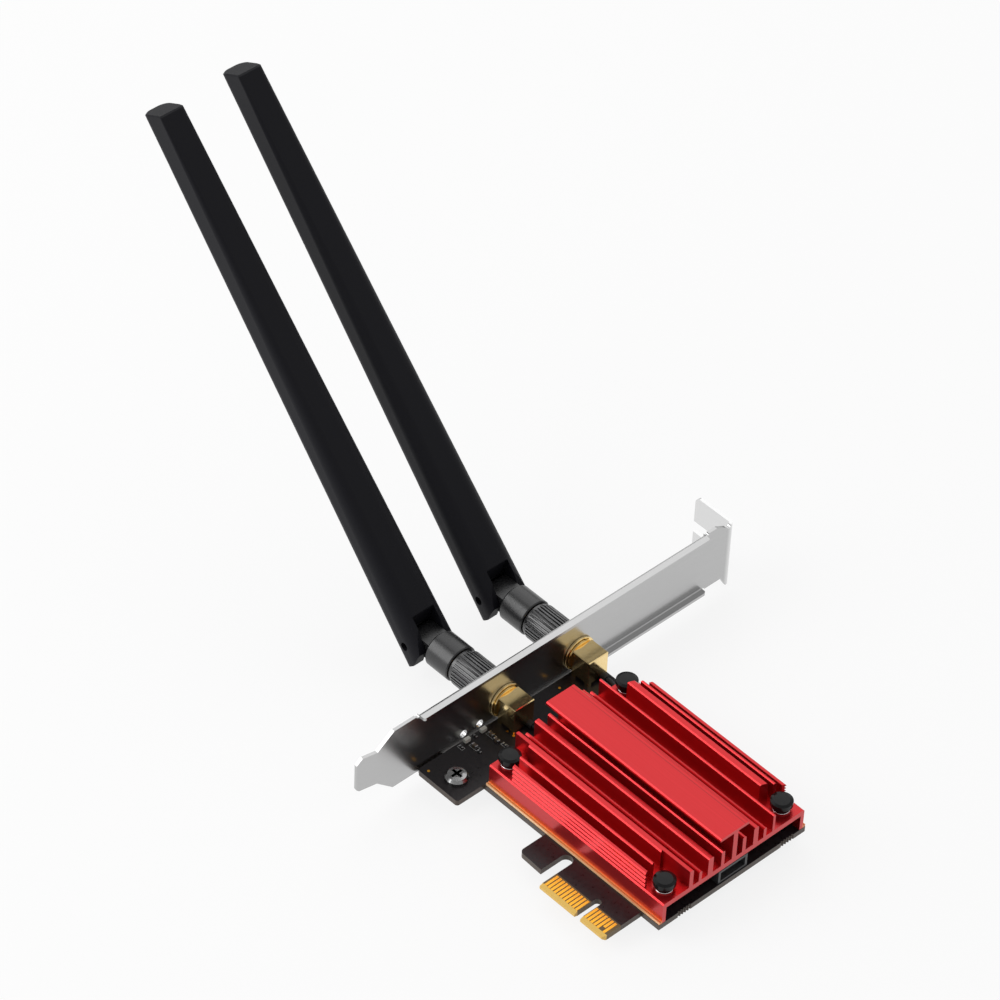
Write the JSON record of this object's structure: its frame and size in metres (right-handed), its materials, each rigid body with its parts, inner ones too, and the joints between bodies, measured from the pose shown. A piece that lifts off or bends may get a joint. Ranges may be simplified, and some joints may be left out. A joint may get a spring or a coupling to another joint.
{
  "type": "expansion card",
  "caption": "Expansion card with a slot bracket, a finned red heatsink and tilting blade antennas on threaded jacks, for adding a radio link to a desktop computer.",
  "frame": {"origin": "lower edge of the edge tongue, at the middle of the key notch and of the board's thickness", "axes": "+X from the bracket into the card, +Y from the tongue towards the bracket's flange, +Z out of the component side"},
  "size_m": [0.1974, 0.12, 0.1119],
  "materials": {
    "board_black": "satin",
    "board_green": "satin",
    "gold_plate": "polished",
    "bracket_steel": "polished",
    "bright_steel": "polished",
    "red_anodised": "anodised",
    "pin_plastic": "gloss",
    "white_plastic": "matte",
    "black_plastic": "matte",
    "antenna_plastic": "matte",
    "grey_rubber": "matte",
    "lamp_plastic": "gloss",
    "chip_black": "matte",
    "chip_tan": "satin"
  },
  "bodies": {
    "card": {"circuit_board": "board_black", "edge_contacts": "gold_plate", "slot_bracket": "bracket_steel", "bracket_screw": "bright_steel", "heatsink": "red_anodised", "push_pins": "pin_plastic", "push_pin_springs": "bright_steel", "jack_1": "gold_plate", "jack_2": "gold_plate", "jack_insulators": "white_plastic", "jack_contacts": "gold_plate", "jack_lock_washers": "gold_plate", "jack_hex_nuts": "gold_plate", "module_board": "board_green", "module_socket": "black_plastic", "module_shield": "bright_steel", "module_standoff": "gold_plate", "module_screw": "bright_steel", "thermal_pad": "grey_rubber", "lead_plugs": "gold_plate", "lead_ferrules": "gold_plate", "coax_lead_1": "black_plastic", "coax_lead_2": "black_plastic", "cable_header": "black_plastic", "cable_header_pins": "gold_plate", "status_lights": "lamp_plastic", "chip_resistors": "chip_black", "chip_capacitors": "chip_tan", "regulator_chip": "chip_black", "power_inductor": "chip_black", "antenna_1_plug_core": "gold_plate", "antenna_2_plug_core": "gold_plate"},
    "antenna_1_coupling": {"antenna_1_coupling_sleeve": "antenna_plastic", "antenna_1_coupling_nut": "gold_plate"},
    "antenna_1_knuckle": {"antenna_1_knuckle": "antenna_plastic"},
    "antenna_1_blade": {"antenna_1_blade": "antenna_plastic", "antenna_1_radiator": "board_green", "antenna_1_hinge_pin": "bright_steel"},
    "antenna_2_coupling": {"antenna_2_coupling_sleeve": "antenna_plastic", "antenna_2_coupling_nut": "gold_plate"},
    "antenna_2_knuckle": {"antenna_2_knuckle": "antenna_plastic"},
    "antenna_2_blade": {"antenna_2_blade": "antenna_plastic", "antenna_2_radiator": "board_green", "antenna_2_hinge_pin": "bright_steel"}
  },
  "joints": [
    {"name": "antenna_1_coupling_spin", "type": "hinge", "parent": "card", "child": "antenna_1_coupling", "pos_m": [-0.0667, 0.03085, 0.00543], "axis": [1, 0, 0], "continuous": true},
    {"name": "antenna_1_swivel", "type": "hinge", "parent": "card", "child": "antenna_1_knuckle", "pos_m": [-0.0765, 0.03085, 0.00543], "axis": [1, 0, 0], "range_deg": [0, 180]},
    {"name": "antenna_1_tilt", "type": "hinge", "parent": "antenna_1_knuckle", "child": "antenna_1_blade", "pos_m": [-0.08575, 0.03085, 0.00543], "axis": [0, 1, 0], "range_deg": [-47, 43]},
    {"name": "antenna_2_coupling_spin", "type": "hinge", "parent": "card", "child": "antenna_2_coupling", "pos_m": [-0.0667, 0.0546, 0.00543], "axis": [1, 0, 0], "continuous": true},
    {"name": "antenna_2_swivel", "type": "hinge", "parent": "card", "child": "antenna_2_knuckle", "pos_m": [-0.0765, 0.0546, 0.00543], "axis": [1, 0, 0], "range_deg": [-180, 0]},
    {"name": "antenna_2_tilt", "type": "hinge", "parent": "antenna_2_knuckle", "child": "antenna_2_blade", "pos_m": [-0.08575, 0.0546, 0.00543], "axis": [0, 1, 0], "range_deg": [-47, 43]}
  ]
}
